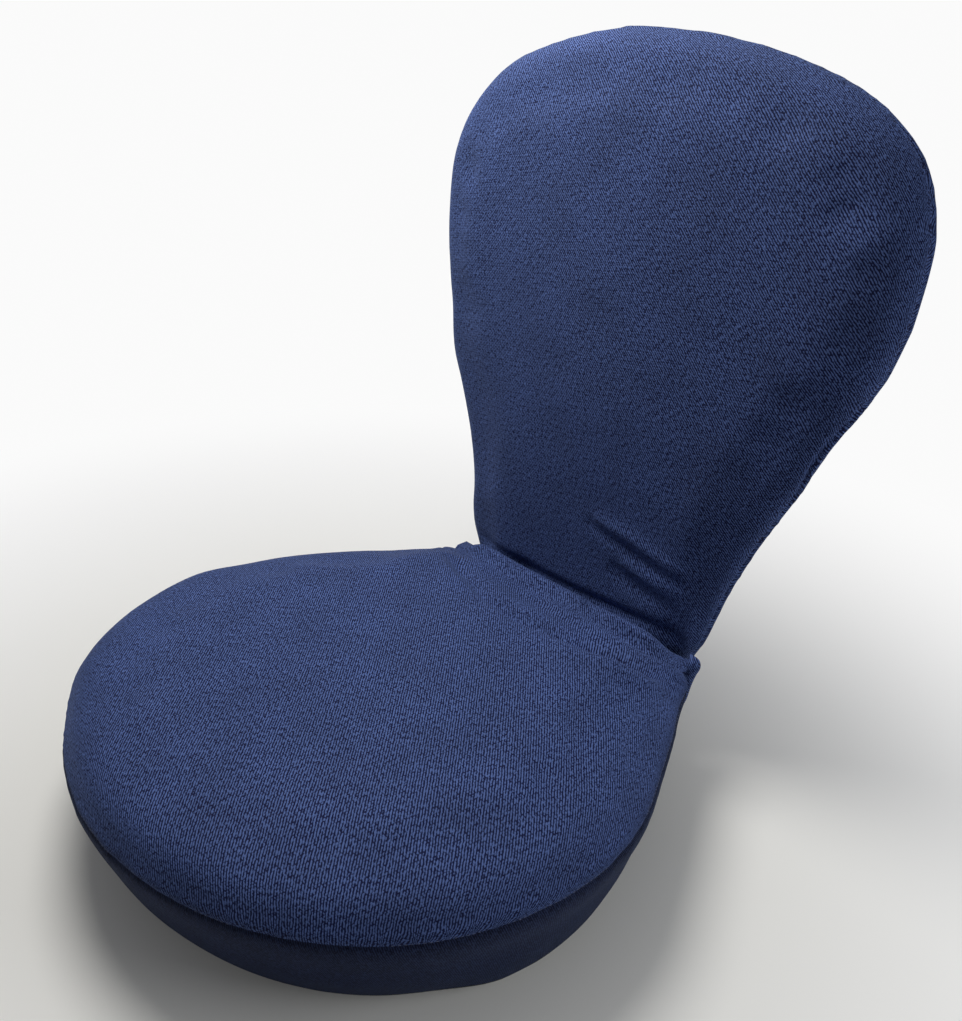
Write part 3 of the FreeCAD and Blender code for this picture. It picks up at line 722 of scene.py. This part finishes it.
# How much higher the crease lies than its middle, from the sitter's right to the left.
crease_rise = [-0.0030, -0.0035, -0.0030, -0.0005, 0.0025, 0.0045, -0.0010]
over_crease = [(0.160, 0.1015), (0.168, 0.1052), (0.1755, 0.1068), (0.1815, 0.1064),
               (0.1862, 0.1035), (0.1893, 0.0990), (0.1915, 0.0930)]
under_hinge = [(0.180, 0.044), (0.185, 0.045), (0.194, 0.048), (0.202, 0.0525),
               (0.208, 0.0575), (0.210, 0.0605)]


def smooth_place(points, share):
    """A place on a smooth line through the points, from the first at 0 to the last at 1."""
    spot = share * (len(points) - 1)
    index = min(int(spot), len(points) - 2)
    step = spot - index
    before, start, end, after = (Vector(points[min(max(index + offset, 0), len(points) - 1)])
                                 for offset in (-1, 0, 1, 2))
    return 0.5 * (2 * start + (end - before) * step
                  + (2 * before - 5 * start + 4 * end - after) * step ** 2
                  + (3 * start - before - 3 * end + after) * step ** 3)


def tucked(place, across, along):
    """Tucks the front edge of the strip under the seat's knit."""
    hit, top, _, _ = seat_cushion.ray_cast((across, place.x, 0.2), (0, 0, -1))
    if hit and along < tuck_share:
        share = along / tuck_share
        place.y += (top.z - tuck_depth - place.y) * (1 - share * share * (3 - 2 * share))


def gusset(name, width, line, ends, rise, folds):
    """A strip across the chair, gathered at its ends, and raised and folded on the way."""
    form = bmesh.new()
    bmesh.ops.create_grid(form, x_segments=112, y_segments=22, size=1)
    weave = form.verts.layers.float_vector.new("weave")
    for vert in form.verts:
        across, along = vert.co.x * width / 2, (vert.co.y + 1) / 2
        vert[weave] = (across, line[0][0] + along * gusset_length, 0)
        place = smooth_place(line, along)
        place.y += smooth_place(rise, (vert.co.x + 1) / 2).x * along
        place.y -= fold_depth(across, place.x, folds)
        end = (abs(across) - gusset_gather_from) / (width / 2 - gusset_gather_from)
        end = min(max(end, 0), 1)
        front, rear = (Vector(edge) for edge in ends[across > 0])
        place = place.lerp(front.lerp(rear, along), end * end * (3 - 2 * end))
        if folds:
            tucked(place, across, along)
        vert.co = (across, place.x, place.y)
    bmesh.ops.recalc_face_normals(form, faces=form.faces)
    bmesh.ops.solidify(form, geom=form.faces[:], thickness=gusset_thickness)
    bmesh.ops.recalc_face_normals(form, faces=form.faces)
    piece = new_object(name, form)
    smooth(piece.data)
    piece.data.materials.append(cover_knit)
    return piece


crease_gusset = gusset("crease_gusset", crease_gusset_width, over_crease, crease_gusset_ends,
                       [(height, 0) for height in crease_rise], seat_folds)
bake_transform(crease_gusset)
under_gusset = gusset("under_gusset", under_gusset_width, under_hinge, under_gusset_ends,
                      [(0, 0), (0, 0)], [])
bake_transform(under_gusset)


# Corner rolls: at each end of the crease the cover's spare knit is gathered into a soft roll,
# with a small knot on top where the rim seam, the gusset and the seat's corner seam meet.
# The one at the sitter's right lies lower, below the seat's upper edge.

# The middle of the left roll from its knot down: a place, and a share of the radius.
roll_line = [(0.1250, 0.1950, 0.1010, 0.10), (0.1290, 0.1935, 0.0990, 0.50),
             (0.1305, 0.1925, 0.0960, 0.84), (0.1280, 0.1915, 0.0900, 0.80),
             (0.1250, 0.1895, 0.0800, 0.92), (0.1235, 0.1885, 0.0640, 0.92),
             (0.1200, 0.1880, 0.0480, 0.60), (0.1160, 0.1870, 0.0400, 0.15)]
roll_radius = 0.0080
roll_foot = 0.040
roll_height = 0.061


def corner_roll(name, side, lowered):
    """A roll at one end of the crease, with its knot lowered and its foot as it was."""
    curve = bpy.data.curves.new(name, "CURVE")
    curve.dimensions = "3D"
    curve.bevel_depth = roll_radius
    curve.bevel_resolution = 10
    curve.use_fill_caps = True
    spline = curve.splines.new("NURBS")
    spline.points.add(len(roll_line) - 1)
    for point, (x, y, z, swell) in zip(spline.points, roll_line):
        point.co = (side * x, y, z - lowered * (z - roll_foot) / roll_height, 1)
        point.radius = swell
    spline.order_u = 3
    spline.use_endpoint_u = True
    spline.resolution_u = 14
    carrier = bpy.data.objects.new(name, curve)
    scene.collection.objects.link(carrier)
    graph = bpy.context.evaluated_depsgraph_get()
    form = bmesh.new()
    form.from_mesh(bpy.data.meshes.new_from_object(carrier.evaluated_get(graph)))
    bpy.data.objects.remove(carrier)
    bmesh.ops.remove_doubles(form, verts=form.verts, dist=0.00005)
    bmesh.ops.recalc_face_normals(form, faces=form.faces)
    piece = new_object(name, form)
    pressed(piece, lambda point: 0.0008 * noise.noise(point * 60))
    smooth(piece.data)
    weave_along(piece, lambda point, normal, centre: (point.x + point.y, point.z, 0))
    piece.data.materials.append(cover_knit)
    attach(piece, "seat")


corner_roll("left_corner_roll", 1, 0)
corner_roll("right_corner_roll", -1, 0.019)


# Seam thread: a row of small stitches in the groove between the seat's top panel and its band.

stitch_pitch = 0.0034
stitch_length = 0.0021
stitch_radius = 0.00032

thread_colour = (0.050, 0.070, 0.170, 1)
seam_thread, tree, shader = new_material("seam_thread", thread_colour, 0.6)
twist = object_noise(tree, 1800, 2)
tree.links.new(two_tone(tree, twist, (0.020, 0.030, 0.090, 1), (0.16, 0.20, 0.36, 1), 0.42, 0.68),
               shader.inputs["Base Color"])
raised(tree, shader, twist, 0.3, 0.0001)


def stitched(name, points):
    """Stitches at even steps along a closed row of points."""
    form = bmesh.new()
    run = 0.0
    for start, end in zip(points, points[1:] + points[:1]):
        step = end - start
        while run < step.length:
            made = bmesh.ops.create_uvsphere(form, u_segments=6, v_segments=4,
                                             radius=stitch_radius)
            bmesh.ops.scale(form, vec=(1, 1, stitch_length / 2 / stitch_radius),
                            verts=made["verts"])
            bmesh.ops.rotate(form, cent=(0, 0, 0), verts=made["verts"],
                             matrix=step.to_track_quat("Z", "Y").to_matrix())
            bmesh.ops.translate(form, verts=made["verts"], vec=start + step * (run / step.length))
            run += stitch_pitch
        run -= step.length
    piece = new_object(name, form)
    smooth(piece.data)
    piece.data.materials.append(seam_thread)
    return piece


# The thread follows the row of points that the seam's own cut left on the cushion.
seam_row = [vert.co.copy() for vert in seat_cushion.data.vertices
            if abs(vert.co.z - seam_height) < 0.00015]
seam_row.sort(key=lambda point: math.atan2(point.x, -point.y))
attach(stitched("seat_seam_thread", seam_row), "seat")
